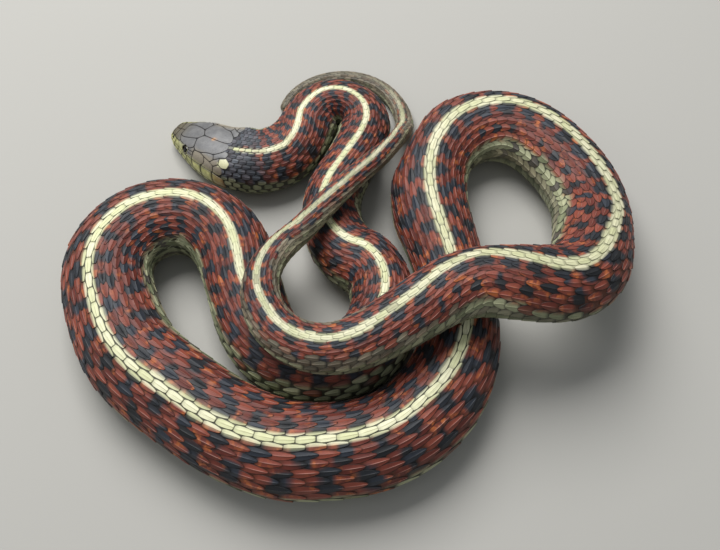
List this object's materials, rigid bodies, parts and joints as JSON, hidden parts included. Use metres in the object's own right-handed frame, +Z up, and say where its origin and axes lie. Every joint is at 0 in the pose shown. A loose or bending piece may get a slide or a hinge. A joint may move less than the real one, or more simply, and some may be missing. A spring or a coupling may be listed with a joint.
{
  "type": "garter snake",
  "caption": "Life-size still model of a coiled garter snake lying on the floor, with its hind body and tail crossing over its fore body.",
  "frame": {"origin": "on the floor under the centre of the snake's bounding box", "axes": "+Z up from the floor; +X along the longest side of the coiled body, towards the right loop, so the head points to -X; +Y towards the side where the hook and the tail's end lie"},
  "size_m": [0.1189, 0.1039, 0.0253],
  "materials": {
    "scaly_skin": "dry keeled scales, brick red and black with a pale stripe",
    "eye": "wet glossy eye"
  },
  "bodies": {
    "root": {"head": "scaly_skin", "lower_jaw": "scaly_skin", "eye_left": "eye", "eye_right": "eye", "neck": "scaly_skin", "trunk_hook": "scaly_skin", "trunk_under_tail": "scaly_skin", "trunk_inner_coil_a": "scaly_skin", "trunk_inner_coil_b": "scaly_skin", "trunk_left_loop_a": "scaly_skin", "trunk_left_loop_b": "scaly_skin", "trunk_front_a": "scaly_skin", "trunk_front_b": "scaly_skin", "trunk_front_c": "scaly_skin", "trunk_rise": "scaly_skin", "trunk_right_loop_a": "scaly_skin", "trunk_right_loop_b": "scaly_skin", "trunk_turn": "scaly_skin", "trunk_cross": "scaly_skin", "trunk_hind_coil": "scaly_skin", "tail_base": "scaly_skin", "tail_middle": "scaly_skin", "tail_bend": "scaly_skin", "tail_end": "scaly_skin"}
  },
  "joints": []
}
